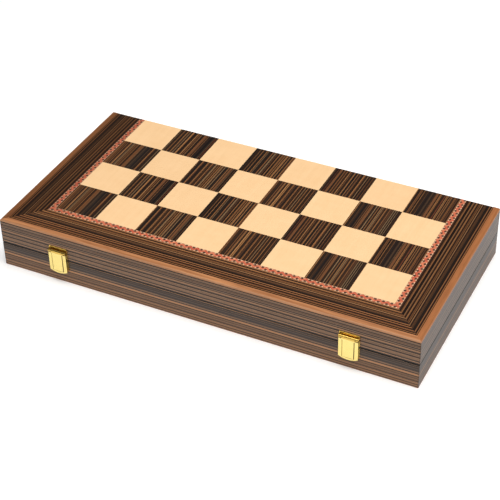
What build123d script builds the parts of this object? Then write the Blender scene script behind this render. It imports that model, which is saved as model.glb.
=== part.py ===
from build123d import *
from math import sin, cos, radians
import os

os.makedirs("parts", exist_ok=True)

# Folding chess set: two shallow trays hinged along the rear edge, closed by two
# brass catches on the front, with the chessmen lying in flocked inserts.
# X runs along the case, Y from the front to the rear, Z up. The origin is the
# middle of the underside. Millimetres.

# ---- case -----------------------------------------------------------------
case_length = 480.0        # X, outside
case_width = 240.0         # Y, outside
case_height = 60.0         # Z, closed
square = 49.0              # one square of the board
files, ranks = 8, 4        # squares along X and along Y on one tray
rail = 10.0                # rail thickness, with its veneer
edging = 7.0               # width of solid wood that shows round the panel
# rounding of the outer edge, and depth of bare wood between it and the side
# veneer; the base is only broken slightly, so its veneer runs almost to the table
arris = {"base": 0.6, "lid": 1.4}
arris_band = {"base": 0.8, "lid": 1.9}
side_veneer = 0.6          # veneer on the outside of the rails
face_veneer = 0.6          # marquetry veneer on the panel
face_sink = 0.2            # the marquetry lies this far below the edging
core = 3.2                 # plywood panel under the marquetry
rim_gap = 0.05             # each rim stops this far from the parting plane
rim_groove = 0.45          # bevel that makes the dark line between the trays
banding = 6.5              # rope banding round the squares
seam = 0.03                # half a glue line between neighbouring veneers

half_x, half_y = case_length / 2, case_width / 2
part_z = case_height / 2
panel = face_sink + face_veneer + core            # outer face to inner face
rim = part_z - rim_gap                            # outer face to rim
veneer_end = rim - rim_groove                     # side veneer stops here
border = (case_length - files * square) / 2       # edging + veneer + banding
rope_in = border
rope_out = border - banding

# ---- rear hinges ----------------------------------------------------------
hinge_x = (-150.0, 150.0)
hinge_length = 50.0
hinge_axis_y = half_y + 0.15
knuckle_r = 2.4
knuckle_room = 2.8
knuckle_gap = 0.25
knuckles = 5
leaf = 1.0
leaf_inner_y = 111.5
leaf_edge_y = hinge_axis_y - knuckle_room - 0.15
pin_r = 0.9
screw_y = 114.3
screw_x = (-18.0, 0.0, 18.0)
screw_head_r = 2.0
screw_shank_r = 1.0
screw_length = 9.0

# ---- front catches --------------------------------------------------------
latch_x = (-168.4, 166.6)
flap_width = 21.3
flap_corner_z = 15.6       # lower corners of the flap
flap_drop = 2.8            # the curved end hangs this much lower
flap_top_z = 38.6
flap_sheet = 0.8
flap_strip_out = 3.5       # outer face of the side strips, from the case front
flap_panel_out = 4.0       # outer face of the raised middle
flap_panel_width = 12.0
flap_groove = 0.8
flap_wall = 0.7
flap_wall_in = 0.9         # the flap's walls stop this far from the case front
pivot_out = 2.35
pivot_z = 40.6
roll_r = 1.65
roll_pin_r = 0.7
middle_roll = 14.0
plate = 0.6
lid_plate_width = 21.9
lid_plate_z = (30.6, 45.0)
keeper_width = 21.9
keeper_z = (16.6, 29.4)
nail_r = 0.6

# ---- inside ---------------------------------------------------------------
insert_length, insert_width = 459.0, 219.0
insert_top = 20.0          # from the outer face of the tray
pocket_floor = 5.0
pocket_play = 1.0
column_pitch = 54.0
column_shift = column_pitch / 4   # opposite ways in the two trays
officer_foot_y = 103.0
pawn_foot_y = -103.0
felt = 1.0

columns = {
    "base": [-3.5 * column_pitch - column_shift + column_pitch * i for i in range(8)],
    "lid": [-3.5 * column_pitch + column_shift + column_pitch * i for i in range(8)],
}
back_rank = ["rook_left", "knight_left", "bishop_left", "queen",
             "king", "bishop_right", "knight_right", "rook_right"]
# height, foot radius, widest radius above the foot
sizes = {"king": (78.0, 15.0, 10.2), "queen": (70.0, 14.5, 10.0),
         "bishop": (62.0, 13.5, 8.8), "knight": (56.0, 13.5, 13.6),
         "rook": (48.0, 13.5, 9.6), "pawn": (42.0, 12.0, 7.6)}


def rail_section(place, r, band):
    """Cross-section of a rail: place(u, h) puts a point u in from the outer
    side and h in from the outer face of the panel. r rounds the outer edge and
    band is the depth of bare wood above the side veneer."""
    Polyline(place(r, 0), place(edging, 0), place(edging, panel), place(rail, panel),
             place(rail, rim), place(side_veneer + rim_groove, rim),
             place(side_veneer, veneer_end), place(side_veneer, band),
             place(0, band), place(0, r))
    ThreePointArc(place(0, r), place(r * (1 - cos(radians(45))), r * (1 - sin(radians(45)))),
                  place(r, 0))


def framing(outer, inner):
    """Three strips round the squares, mitred at the front corners."""
    g = 2 * seam
    a, b = outer, inner
    return [
        [(-half_x + a + g, -half_y + a), (half_x - a - g, -half_y + a),
         (half_x - b - g, -half_y + b), (-half_x + b + g, -half_y + b)],
        [(-half_x + a, -half_y + a + g), (-half_x + b, -half_y + b + g),
         (-half_x + b, half_y), (-half_x + a, half_y)],
        [(half_x - a, -half_y + a + g), (half_x - b, -half_y + b + g),
         (half_x - b, half_y), (half_x - a, half_y)],
    ]


left_mitre = Plane(origin=(-half_x, -half_y, 0), z_dir=(1, -1, 0))
right_mitre = Plane(origin=(half_x, -half_y, 0), z_dir=(-1, -1, 0))

# ======================= the two trays =====================================
for half in ("base", "lid"):
    upper = half == "lid"

    def z(h):
        return case_height - h if upper else h

    def low(h0, h1):
        return min(z(h0), z(h1))

    # nails of the catch's keeper (base) or its plate (lid) go into the front rail
    if upper:
        nail_points = [(x + dx, 33.6) for x in latch_x for dx in (-7.0, 7.0)]
    else:
        nail_points = [(x + dx, 27.4) for x in latch_x for dx in (-6.5, 6.5)]

    with BuildPart() as front_rail:
        with BuildSketch(Plane.YZ.offset(-half_x)):
            with BuildLine():
                rail_section(lambda u, h: (-half_y + u, z(h)), arris[half], arris_band[half])
            make_face()
        extrude(amount=case_length)
        split(bisect_by=left_mitre, keep=Keep.TOP)
        split(bisect_by=right_mitre, keep=Keep.TOP)
        with BuildSketch(Plane.XZ.offset(half_y + 1)):
            with Locations(*nail_points):
                Circle(nail_r + 0.02)
        extrude(amount=-8.5, mode=Mode.SUBTRACT)
    front_rail.part.label = f"{half}_front_rail"
    export_step(front_rail.part, f"parts/{half}_front_rail.step")

    with BuildPart() as left_rail:
        with BuildSketch(Plane.XZ.offset(-half_y)):
            with BuildLine():
                rail_section(lambda u, h: (-half_x + u, z(h)), arris[half], arris_band[half])
            make_face()
        extrude(amount=case_width)
        split(bisect_by=left_mitre, keep=Keep.BOTTOM)
        # rebate at the rear end for the rear veneer
        with BuildSketch(Plane.XY.offset(low(face_sink + face_veneer, part_z))):
            with Locations((-half_x + rail / 2, half_y)):
                Rectangle(rail + 2, 2 * side_veneer)
        extrude(amount=part_z - face_sink - face_veneer, mode=Mode.SUBTRACT)
    left_rail.part.label = f"{half}_left_rail"
    export_step(left_rail.part, f"parts/{half}_left_rail.step")

    with BuildPart() as right_rail:
        with BuildSketch(Plane.XZ.offset(-half_y)):
            with BuildLine():
                rail_section(lambda u, h: (half_x - u, z(h)), arris[half], arris_band[half])
            make_face()
        extrude(amount=case_width)
        split(bisect_by=right_mitre, keep=Keep.BOTTOM)
        with BuildSketch(Plane.XY.offset(low(face_sink + face_veneer, part_z))):
            with Locations((half_x - rail / 2, half_y)):
                Rectangle(rail + 2, 2 * side_veneer)
        extrude(amount=part_z - face_sink - face_veneer, mode=Mode.SUBTRACT)
    right_rail.part.label = f"{half}_right_rail"
    export_step(right_rail.part, f"parts/{half}_right_rail.step")

    # the rear rail lies under the panel, which runs out to the rear face
    with BuildPart() as rear_rail:
        with BuildSketch(Plane.YZ.offset(-half_x + rail)):
            with BuildLine():
                Polyline((half_y - rail, z(panel)), (half_y - side_veneer, z(panel)),
                         (half_y - side_veneer, z(veneer_end)),
                         (half_y - side_veneer - rim_groove, z(rim)),
                         (half_y - rail, z(rim)), close=True)
            make_face()
        extrude(amount=case_length - 2 * rail)
        for x in hinge_x:
            with BuildSketch(Plane.YZ.offset(x - hinge_length / 2 - 0.3)):
                with Locations((hinge_axis_y, part_z)):
                    Circle(knuckle_room)
            extrude(amount=hinge_length + 0.6, mode=Mode.SUBTRACT)
        # mortises for the hinge leaves
        with BuildSketch(Plane.XY.offset(low(part_z - 0.1 - leaf - 0.05, part_z + 0.5))):
            with Locations(*[(x, (leaf_inner_y + half_y) / 2 - 0.1) for x in hinge_x]):
                Rectangle(hinge_length + 0.4, half_y - leaf_inner_y)
        extrude(amount=leaf + 0.65, mode=Mode.SUBTRACT)
        # pilot holes for the hinge screws
        with BuildSketch(Plane.XY.offset(low(part_z - screw_length - 0.6, part_z))):
            with Locations(*[(x + dx, screw_y) for x in hinge_x for dx in screw_x]):
                Circle(screw_shank_r + 0.03)
        extrude(amount=screw_length + 0.6, mode=Mode.SUBTRACT)
    rear_rail.part.label = f"{half}_rear_rail"
    export_step(rear_rail.part, f"parts/{half}_rear_rail.step")

    # plywood panel, let into the rabbets of three rails and over the rear rail
    with BuildPart() as panel_core:
        with BuildSketch(Plane.XY.offset(low(face_sink + face_veneer, panel))):
            with Locations((0, (half_y - side_veneer - half_y + edging) / 2)):
                Rectangle(case_length - 2 * edging, case_width - edging - side_veneer)
        extrude(amount=core)
    panel_core.part.label = f"{half}_panel_core"
    export_step(panel_core.part, f"parts/{half}_panel_core.step")

    # marquetry: squares, dark where the two boards join into one chequer
    light, dark = [], []
    for i in range(files):
        for j in range(ranks):
            spot = (-files * square / 2 + (i + 0.5) * square,
                    half_y - (ranks - j - 0.5) * square)
            is_dark = (i + j) % 2 == 0 if upper else (i - j) % 2 == 1
            (dark if is_dark else light).append(spot)

    with BuildPart() as light_squares:
        with BuildSketch(Plane.XY.offset(low(face_sink, face_sink + face_veneer))):
            with Locations(*light):
                Rectangle(square - 2 * seam, square - 2 * seam)
        extrude(amount=face_veneer)
    light_squares.part.label = f"{half}_light_squares"
    export_step(light_squares.part, f"parts/{half}_light_squares.step")

    with BuildPart() as dark_squares:
        with BuildSketch(Plane.XY.offset(low(face_sink, face_sink + face_veneer))):
            with Locations(*dark):
                Rectangle(square - 2 * seam, square - 2 * seam)
        extrude(amount=face_veneer)
    dark_squares.part.label = f"{half}_dark_squares"
    export_step(dark_squares.part, f"parts/{half}_dark_squares.step")

    with BuildPart() as rope_banding:
        with BuildSketch(Plane.XY.offset(low(face_sink, face_sink + face_veneer))):
            for outline in framing(rope_out, rope_in):
                with BuildLine():
                    Polyline(*outline, close=True)
                make_face()
        extrude(amount=face_veneer)
    rope_banding.part.label = f"{half}_rope_banding"
    export_step(rope_banding.part, f"parts/{half}_rope_banding.step")

    with BuildPart() as border_veneer:
        with BuildSketch(Plane.XY.offset(low(face_sink, face_sink + face_veneer))):
            for outline in framing(edging, rope_out):
                with BuildLine():
                    Polyline(*outline, close=True)
                make_face()
        extrude(amount=face_veneer)
    border_veneer.part.label = f"{half}_border_veneer"
    export_step(border_veneer.part, f"parts/{half}_border_veneer.step")

    # four strips of veneer on the outside of the rails
    with BuildPart() as outer_veneer:
        with BuildSketch(Plane.XY.offset(low(arris_band[half], veneer_end))):
            with Locations((0, -half_y + side_veneer / 2)):
                Rectangle(case_length, side_veneer)
            with Locations((-half_x + side_veneer / 2, 0), (half_x - side_veneer / 2, 0)):
                Rectangle(side_veneer, case_width - 2 * side_veneer - 4 * seam)
        extrude(amount=veneer_end - arris_band[half])
        with BuildSketch(Plane.XY.offset(low(face_sink + face_veneer, veneer_end))):
            with Locations((0, half_y - side_veneer / 2)):
                Rectangle(case_length, side_veneer)
        extrude(amount=veneer_end - face_sink - face_veneer)
        for x in hinge_x:
            with BuildSketch(Plane.YZ.offset(x - hinge_length / 2 - 0.3)):
                with Locations((hinge_axis_y, part_z)):
                    Circle(knuckle_room)
            extrude(amount=hinge_length + 0.6, mode=Mode.SUBTRACT)
        with BuildSketch(Plane.XZ.offset(half_y + 1)):
            with Locations(*nail_points):
                Circle(nail_r + 0.02)
        extrude(amount=-3, mode=Mode.SUBTRACT)
    outer_veneer.part.label = f"{half}_outer_veneer"
    export_step(outer_veneer.part, f"parts/{half}_outer_veneer.step")

    # flocked insert with one shaped pocket for each chessman
    with BuildPart() as insert:
        with BuildSketch(Plane.XY.offset(low(panel, insert_top))):
            RectangleRounded(insert_length, insert_width, 3.0)
        extrude(amount=insert_top - panel)
        with BuildSketch(Plane.XY.offset(low(pocket_floor, insert_top + 1))):
            for x, name in zip(columns[half], back_rank):
                tall, foot, waist = sizes[name.split("_")[0]]
                y1 = officer_foot_y + felt + pocket_play
                y0 = officer_foot_y - 10.0
                with Locations((x, (y0 + y1) / 2)):
                    Rectangle(2 * foot + 2 * pocket_play, y1 - y0)
                y2 = officer_foot_y - tall - 1.5 * pocket_play
                with Locations((x, (y2 + y1) / 2)):
                    Rectangle(2 * waist + 2 * pocket_play, y1 - y2)
                tall, foot, waist = sizes["pawn"]
                y1 = pawn_foot_y - felt - pocket_play
                y0 = pawn_foot_y + 10.0
                with Locations((x, (y0 + y1) / 2)):
                    Rectangle(2 * foot + 2 * pocket_play, y0 - y1)
                y2 = pawn_foot_y + tall + 1.5 * pocket_play
                with Locations((x, (y2 + y1) / 2)):
                    Rectangle(2 * waist + 2 * pocket_play, y2 - y1)
        extrude(amount=insert_top + 1 - pocket_floor, mode=Mode.SUBTRACT)
        fillet(insert.faces().filter_by(Plane.XY).sort_by(Axis.Z)[0 if upper else -1]
               .edges(), 0.8)
    insert.part.label = f"{half}_insert"
    export_step(insert.part, f"parts/{half}_insert.step")

    # ---- rear hinge leaves: three knuckles on the base, two on the lid ----
    step = (hinge_length + knuckle_gap) / knuckles
    with BuildPart() as hinge_leaves:
        with BuildSketch(Plane.XY.offset(low(part_z - 0.1 - leaf, part_z - 0.1))):
            with Locations(*[(x, (leaf_inner_y + leaf_edge_y) / 2) for x in hinge_x]):
                Rectangle(hinge_length, leaf_edge_y - leaf_inner_y)
        extrude(amount=leaf)
        for x in hinge_x:
            for k in range(1 if upper else 0, knuckles, 2):
                x0 = x - hinge_length / 2 + k * step
                with BuildSketch(Plane.YZ.offset(x0)):
                    with Locations((hinge_axis_y, part_z)):
                        Circle(knuckle_r)
                    with Locations(((leaf_edge_y + hinge_axis_y) / 2 - 0.5,
                                    z(part_z - 0.1 - leaf / 2))):
                        Rectangle(hinge_axis_y - leaf_edge_y + 1.0, leaf)
                    with Locations((hinge_axis_y, part_z)):
                        Circle(pin_r + (0.05 if upper else 0.012), mode=Mode.SUBTRACT)
                extrude(amount=step - knuckle_gap)
        with BuildSketch(Plane.XY.offset(low(part_z - 0.1 - leaf, part_z - 0.1))):
            with Locations(*[(x + dx, screw_y) for x in hinge_x for dx in screw_x]):
                Circle(screw_shank_r + 0.2)
        extrude(amount=leaf, mode=Mode.SUBTRACT)
        with Locations(*[(x + dx, screw_y, z(part_z - 0.1 - 0.45))
                         for x in hinge_x for dx in screw_x]):
            Cone(screw_head_r + 0.05 if upper is False else screw_shank_r + 0.2,
                 screw_shank_r + 0.2 if upper is False else screw_head_r + 0.05,
                 0.9, rotation=(180, 0, 0), mode=Mode.SUBTRACT)
    hinge_leaves.part.label = f"hinge_{half}_leaves"
    export_step(hinge_leaves.part, f"parts/hinge_{half}_leaves.step")

    # countersunk slotted screws, driven down into the rear rail from the rim
    with BuildPart() as hinge_screws:
        with BuildSketch(Plane.XY.offset(low(part_z - 1.0, part_z - screw_length))):
            with Locations(*[(x + dx, screw_y) for x in hinge_x for dx in screw_x]):
                Circle(screw_shank_r)
        extrude(amount=screw_length - 1.0)
        with Locations(*[(x + dx, screw_y, z(part_z - 0.15 - 0.45))
                         for x in hinge_x for dx in screw_x]):
            Cone(screw_head_r if upper is False else screw_shank_r,
                 screw_shank_r if upper is False else screw_head_r,
                 0.9, rotation=(180, 0, 0))
        with BuildSketch(Plane.XY.offset(low(part_z - 0.1, part_z - 0.5))):
            with Locations(*[(x + dx, screw_y) for x in hinge_x for dx in screw_x]):
                Rectangle(2 * screw_head_r + 1, 0.5, rotation=35)
        extrude(amount=0.4, mode=Mode.SUBTRACT)
    hinge_screws.part.label = f"hinge_{half}_screws"
    export_step(hinge_screws.part, f"parts/hinge_{half}_screws.step")

# one pin through the five knuckles of each hinge, held by the base knuckles
with BuildPart() as hinge_pins:
    for x in hinge_x:
        with BuildSketch(Plane.YZ.offset(x - hinge_length / 2)):
            with Locations((hinge_axis_y, part_z)):
                Circle(pin_r)
        extrude(amount=hinge_length)
    chamfer(hinge_pins.edges().filter_by(GeomType.CIRCLE), 0.2)
hinge_pins.part.label = "hinge_pins"
export_step(hinge_pins.part, "parts/hinge_pins.step")

# ======================= front catches =====================================
for side, x in zip(("left", "right"), latch_x):
    pivot = (x, -half_y - pivot_out, pivot_z)

    # plate nailed to the lid, rolled into two end knuckles at its top
    with BuildPart() as latch_plate:
        with BuildSketch(Plane.XZ.offset(half_y)):
            with Locations((x, sum(lid_plate_z) / 2)):
                RectangleRounded(lid_plate_width, lid_plate_z[1] - lid_plate_z[0], 1.2)
            with Locations((x - 7.0, 33.6), (x + 7.0, 33.6)):
                Circle(nail_r + 0.02, mode=Mode.SUBTRACT)
        extrude(amount=plate)
        for x0 in (x - flap_width / 2, x + middle_roll / 2 + 0.2):
            with BuildSketch(Plane.YZ.offset(x0)):
                with Locations((-half_y - pivot_out, pivot_z)):
                    Circle(roll_r)
                with Locations((-half_y - pivot_out / 2, pivot_z + roll_r - 0.35)):
                    Rectangle(pivot_out, 0.7)
                with Locations((-half_y - pivot_out, pivot_z)):
                    Circle(roll_pin_r + 0.012, mode=Mode.SUBTRACT)
            extrude(amount=flap_width / 2 - middle_roll / 2 - 0.2)
    latch_plate.part.label = f"{side}_latch_plate"
    export_step(latch_plate.part, f"parts/{side}_latch_plate.step")

    with BuildPart() as latch_pin:
        with BuildSketch(Plane.YZ.offset(x - flap_width / 2)):
            with Locations((-half_y - pivot_out, pivot_z)):
                Circle(roll_pin_r)
        extrude(amount=flap_width)
    latch_pin.part.label = f"{side}_latch_pin"
    export_step(latch_pin.part, f"parts/{side}_latch_pin.step")

    # dished flap: sheet with a raised middle, low walls and a curved lower end
    with BuildPart() as flap:
        w = flap_width / 2
        with BuildSketch(Plane.XZ.offset(half_y + flap_wall_in)):
            with BuildLine():
                Polyline((x - w, flap_corner_z), (x - w, flap_top_z), (x + w, flap_top_z),
                         (x + w, flap_corner_z))
                ThreePointArc((x + w, flap_corner_z), (x, flap_corner_z - flap_drop),
                              (x - w, flap_corner_z))
            make_face()
        extrude(amount=flap_strip_out - flap_wall_in)
        fillet(flap.faces().sort_by(Axis.Y)[0].edges(), 0.45)
        # hollow behind the sheet, open at the top
        with BuildSketch(Plane.XZ.offset(half_y + flap_wall_in)):
            v = w - flap_wall
            c = flap_corner_z + flap_wall
            with BuildLine():
                Polyline((x - v, c), (x - v, flap_top_z + 1), (x + v, flap_top_z + 1),
                         (x + v, c))
                ThreePointArc((x + v, c), (x, c - flap_drop + 0.1), (x - v, c))
            make_face()
        extrude(amount=flap_strip_out - flap_sheet - flap_wall_in, mode=Mode.SUBTRACT)
        # raised middle, running up into the rolled knuckle
        with BuildSketch(Plane.XZ.offset(half_y + flap_strip_out - 0.3)):
            with Locations((x, (flap_corner_z + flap_top_z) / 2 + 0.2)):
                RectangleRounded(flap_panel_width, flap_top_z - flap_corner_z - 0.4, 0.6)
        extrude(amount=flap_panel_out - flap_strip_out + 0.3)
        fillet(flap.faces().sort_by(Axis.Y)[0].edges(), 0.25)
        # pressed groove along both sides and the lower end of the middle
        with BuildSketch(Plane.XZ.offset(half_y + flap_strip_out - 0.35)):
            g, foot_z = flap_groove, flap_corner_z + 0.4
            a = flap_panel_width / 2
            with BuildLine():
                Polyline((x - a, foot_z + 0.5), (x - a, flap_top_z - 0.5),
                         (x - a - g, flap_top_z - 0.5), (x - a - g, foot_z - 0.2))
                ThreePointArc((x - a - g, foot_z - 0.2), (x, foot_z - 0.75),
                              (x + a + g, foot_z - 0.2))
                Polyline((x + a + g, foot_z - 0.2), (x + a + g, flap_top_z - 0.5),
                         (x + a, flap_top_z - 0.5), (x + a, foot_z + 0.5))
                ThreePointArc((x + a, foot_z + 0.5), (x, foot_z), (x - a, foot_z + 0.5))
            make_face()
        extrude(amount=1.0, mode=Mode.SUBTRACT)
        # rolled knuckle and the web that carries it
        with BuildSketch(Plane.YZ.offset(x - middle_roll / 2)):
            with Locations((-half_y - pivot_out, pivot_z)):
                Circle(roll_r)
            with BuildLine():
                Polyline((-half_y - pivot_out - roll_r, pivot_z),
                         (-half_y - pivot_out - roll_r, pivot_z - 2.6),
                         (-half_y - pivot_out - roll_r + flap_sheet, pivot_z - 2.6),
                         (-half_y - pivot_out - roll_r + flap_sheet, pivot_z), close=True)
            make_face()
            with Locations((-half_y - pivot_out, pivot_z)):
                Circle(roll_pin_r + 0.05, mode=Mode.SUBTRACT)
        extrude(amount=middle_roll)
    flap.part.label = f"{side}_latch_flap"
    export_step(flap.part, f"parts/{side}_latch_flap.step")

    # keeper nailed to the base, with the rib that the flap snaps over
    with BuildPart() as keeper:
        with BuildSketch(Plane.XZ.offset(half_y)):
            with Locations((x, sum(keeper_z) / 2)):
                RectangleRounded(keeper_width, keeper_z[1] - keeper_z[0], 0.8)
            with Locations((x - 6.5, 27.4), (x + 6.5, 27.4)):
                Circle(nail_r + 0.02, mode=Mode.SUBTRACT)
        extrude(amount=plate)
        with BuildSketch(Plane.YZ.offset(x - 5.0)):
            with BuildLine():
                Polyline((-half_y - 0.3, 23.6), (-half_y - plate, 23.6),
                         (-half_y - 2.1, 21.6))
                ThreePointArc((-half_y - 2.1, 21.6), (-half_y - 2.35, 20.8),
                              (-half_y - 1.9, 20.1))
                Polyline((-half_y - 1.9, 20.1), (-half_y - plate, 19.4),
                         (-half_y - 0.3, 19.4), (-half_y - 0.3, 23.6))
            make_face()
        extrude(amount=10.0)
    keeper.part.label = f"{side}_latch_keeper"
    export_step(keeper.part, f"parts/{side}_latch_keeper.step")

# round-headed brass nails, four for the plates and four for the keepers
for half, height, reach in (("plate", 33.6, 7.0), ("keeper", 27.4, 6.5)):
    spots = [(x + s * reach, height) for x in latch_x for s in (-1, 1)]
    with BuildPart() as nails:
        with BuildSketch(Plane.XZ.offset(half_y + plate)):
            with Locations(*spots):
                Circle(nail_r)
        extrude(amount=-7.5)
        with BuildSketch(Plane.XZ.offset(half_y + plate)):
            with Locations(*spots):
                Circle(1.15)
        extrude(amount=0.55)
        fillet(nails.faces().filter_by(GeomType.PLANE).group_by(Axis.Y)[0].edges(), 0.4)
    nails.part.label = f"latch_{half}_nails"
    export_step(nails.part, f"parts/latch_{half}_nails.step")


# ======================= chessmen ==========================================
def foot_profile(r):
    """Turned foot that all the men share: from the axis at the bottom out and
    up to the foot of the stem. Returns the last point."""
    k = r / 13.5
    Polyline((0, 0), (r - 0.5, 0), (r, 0.5), (r, 2.6))
    ThreePointArc((r, 2.6), (r - 0.35, 3.6), (r - 1.3, 4.0))
    Line((r - 1.3, 4.0), (r - 1.6, 4.3))
    ThreePointArc((r - 1.6, 4.3), (r - 1.9 * k, 6.6), (r - 4.2 * k, 8.2))
    Line((r - 4.2 * k, 8.2), (r - 4.7 * k, 8.9))
    return (r - 4.7 * k, 8.9)


def collar(r, h, wide, thick):
    """One turned ring that starts and ends on the stem at radius r."""
    Line((r, h), (wide - 0.3, h + 0.25))
    ThreePointArc((wide - 0.3, h + 0.25), (wide, h + thick / 2), (wide - 0.3, h + thick - 0.25))
    Line((wide - 0.3, h + thick - 0.25), (r, h + thick))
    return (r, h + thick)


def ball_foot(r0, radius, top):
    """Height at which a ball that ends at top is r0 wide, on its lower side."""
    return top - radius - (radius ** 2 - r0 ** 2) ** 0.5


def ball_top(r0, radius, top):
    """A ball centred on the axis, from its neck at radius r0 up to its top."""
    ThreePointArc((r0, ball_foot(r0, radius, top)), (radius, top - radius), (0, top))


men = [("dark", "base", 0, False), ("light", "lid", 0, True)]
for colour, half, _, upper in men:
    def rest_z(foot):
        h = pocket_floor + 0.1 + foot
        return case_height - h if upper else h

    for x, name in zip(columns[half], back_rank):
        kind = name.split("_")[0]
        tall, foot, _waist = sizes[kind]
        # the man lies with its foot to the rear and its top to the front
        lying = Plane(origin=(x, officer_foot_y, rest_z(foot)), x_dir=(1, 0, 0),
                      z_dir=(0, 0, -1))
        spin = Axis((x, officer_foot_y, rest_z(foot)), (0, -1, 0))
        with BuildPart() as man:
            with BuildSketch(lying):
                with BuildLine():
                    a = foot_profile(foot)
                    if kind == "king":
                        ThreePointArc(a, (5.6, 22.0), (4.5, 42.0))
                        b = collar(4.5, 42.0, 9.2, 2.2)
                        b = collar(4.3, 44.2, 7.6, 1.6)
                        Line((4.5, 44.2), (4.3, 44.2))
                        b = collar(4.3, 45.8, 6.4, 1.3)
                        ThreePointArc(b, (6.2, 54.0), (9.4, 62.5))
                        ThreePointArc((9.4, 62.5), (9.9, 63.3), (9.2, 64.0))
                        Spline((9.2, 64.0), (6.0, 66.7), (2.0, 68.0))
                        Line((2.0, 68.0), (0, 68.0))
                    elif kind == "queen":
                        ThreePointArc(a, (5.3, 20.0), (4.2, 38.0))
                        b = collar(4.2, 38.0, 8.7, 2.1)
                        Line((4.2, 40.1), (4.0, 40.1))
                        b = collar(4.0, 40.1, 7.2, 1.5)
                        b = collar(4.0, 41.6, 6.0, 1.2)
                        ThreePointArc(b, (5.6, 51.0), (9.6, 61.0))
                        Line((9.6, 61.0), (8.2, 62.0))
                        ThreePointArc((8.2, 62.0), (7.0, 61.2), (5.9, 61.6))
                        Spline((5.9, 61.6), (4.4, 64.6), (2.0, 66.0))
                        ball_top(2.0, 2.5, tall)
                    elif kind == "bishop":
                        ThreePointArc(a, (4.9, 18.5), (3.8, 34.0))
                        b = collar(3.8, 34.0, 7.6, 2.0)
                        Line((3.8, 36.0), (3.6, 36.0))
                        b = collar(3.6, 36.0, 6.2, 1.5)
                        ThreePointArc(b, (3.4, 38.6), (4.0, 39.6))
                        Spline((4.0, 39.6), (6.5, 42.8), (7.0, 46.8), (5.2, 52.6),
                               (1.5, ball_foot(1.5, 2.1, tall)))
                        ball_top(1.5, 2.1, tall)
                    elif kind == "rook":
                        ThreePointArc(a, (7.0, 19.0), (6.2, 32.0))
                        b = collar(6.2, 32.0, 8.6, 1.8)
                        ThreePointArc(b, (6.6, 36.4), (9.0, 38.8))
                        Polyline((9.0, 38.8), (9.2, 39.4), (9.2, 47.6), (8.8, 48.0),
                                 (6.3, 48.0), (6.3, 43.5), (0, 43.5))
                    else:
                        ThreePointArc(a, (8.3, 10.6), (8.6, 12.6))
                        b = collar(8.6, 12.6, 9.8, 1.6)
                        Line(b, (8.2, 14.6))
                        Line((8.2, 14.6), (0, 14.6))
                    last = {"king": 68.0, "queen": 70.0, "bishop": 62.0,
                            "rook": 43.5, "knight": 14.6}[kind]
                    Line((0, last), (0, 0))
                make_face()
            revolve(axis=spin)
            if kind == "king":
                # finial cross
                with BuildSketch(lying):
                    with BuildLine():
                        Polyline((-1.5, 67.2), (-1.1, 70.6), (-3.6, 70.2), (-3.6, 73.6),
                                 (-1.1, 73.2), (-1.6, tall), (1.6, tall), (1.1, 73.2),
                                 (3.6, 73.6), (3.6, 70.2), (1.1, 70.6), (1.5, 67.2),
                                 close=True)
                    make_face()
                extrude(amount=1.3, both=True)
            elif kind == "queen":
                # scalloped coronet
                with BuildSketch(Plane(origin=(x, officer_foot_y - 60.9, rest_z(foot)),
                                       x_dir=(1, 0, 0), z_dir=(0, -1, 0))):
                    with PolarLocations(9.9, 8, start_angle=22.5):
                        Circle(1.5)
                extrude(amount=3.0, both=True, mode=Mode.SUBTRACT)
            elif kind == "bishop":
                # slanting cut in the mitre
                with BuildSketch(lying):
                    with BuildLine():
                        Polyline((0.8, 46.6), (8.5, 53.0), (8.5, 54.3), (0.8, 47.9),
                                 close=True)
                    make_face()
                extrude(amount=8.0, both=True, mode=Mode.SUBTRACT)
            elif kind == "rook":
                # battlements
                with BuildSketch(Plane(origin=(x, officer_foot_y - 45.0, rest_z(foot)),
                                       x_dir=(1, 0, 0), z_dir=(0, -1, 0))):
                    for turn in (0, 60, 120):
                        Rectangle(24.0, 2.3, rotation=turn)
                extrude(amount=4.0, mode=Mode.SUBTRACT)
            elif kind == "knight":
                # horse's head and neck, cut from a plank and eased all round
                with BuildPart(mode=Mode.PRIVATE) as head:
                    with BuildSketch(lying):
                        with BuildLine():
                            Spline((-7.6, 14.0), (-9.6, 22.0), (-10.2, 31.0), (-8.0, 40.0),
                                   (-3.6, 47.0), (-0.9, 51.0))
                            Polyline((-0.9, 51.0), (0.6, 56.0), (2.8, 51.2))
                            Spline((2.8, 51.2), (6.0, 47.6), (9.3, 42.8), (12.2, 38.2))
                            Spline((12.2, 38.2), (13.1, 35.8), (12.4, 33.2), (10.4, 31.8))
                            Spline((10.4, 31.8), (8.6, 33.6), (5.6, 34.8), (2.6, 34.4))
                            Spline((2.6, 34.4), (2.2, 30.6), (5.0, 25.0), (8.0, 19.6),
                                   (8.0, 14.0))
                            Line((8.0, 14.0), (-7.6, 14.0))
                        make_face()
                    extrude(amount=5.2, both=True)
                    fillet(head.faces().filter_by(Plane.XY).edges(), 1.1)
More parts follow.
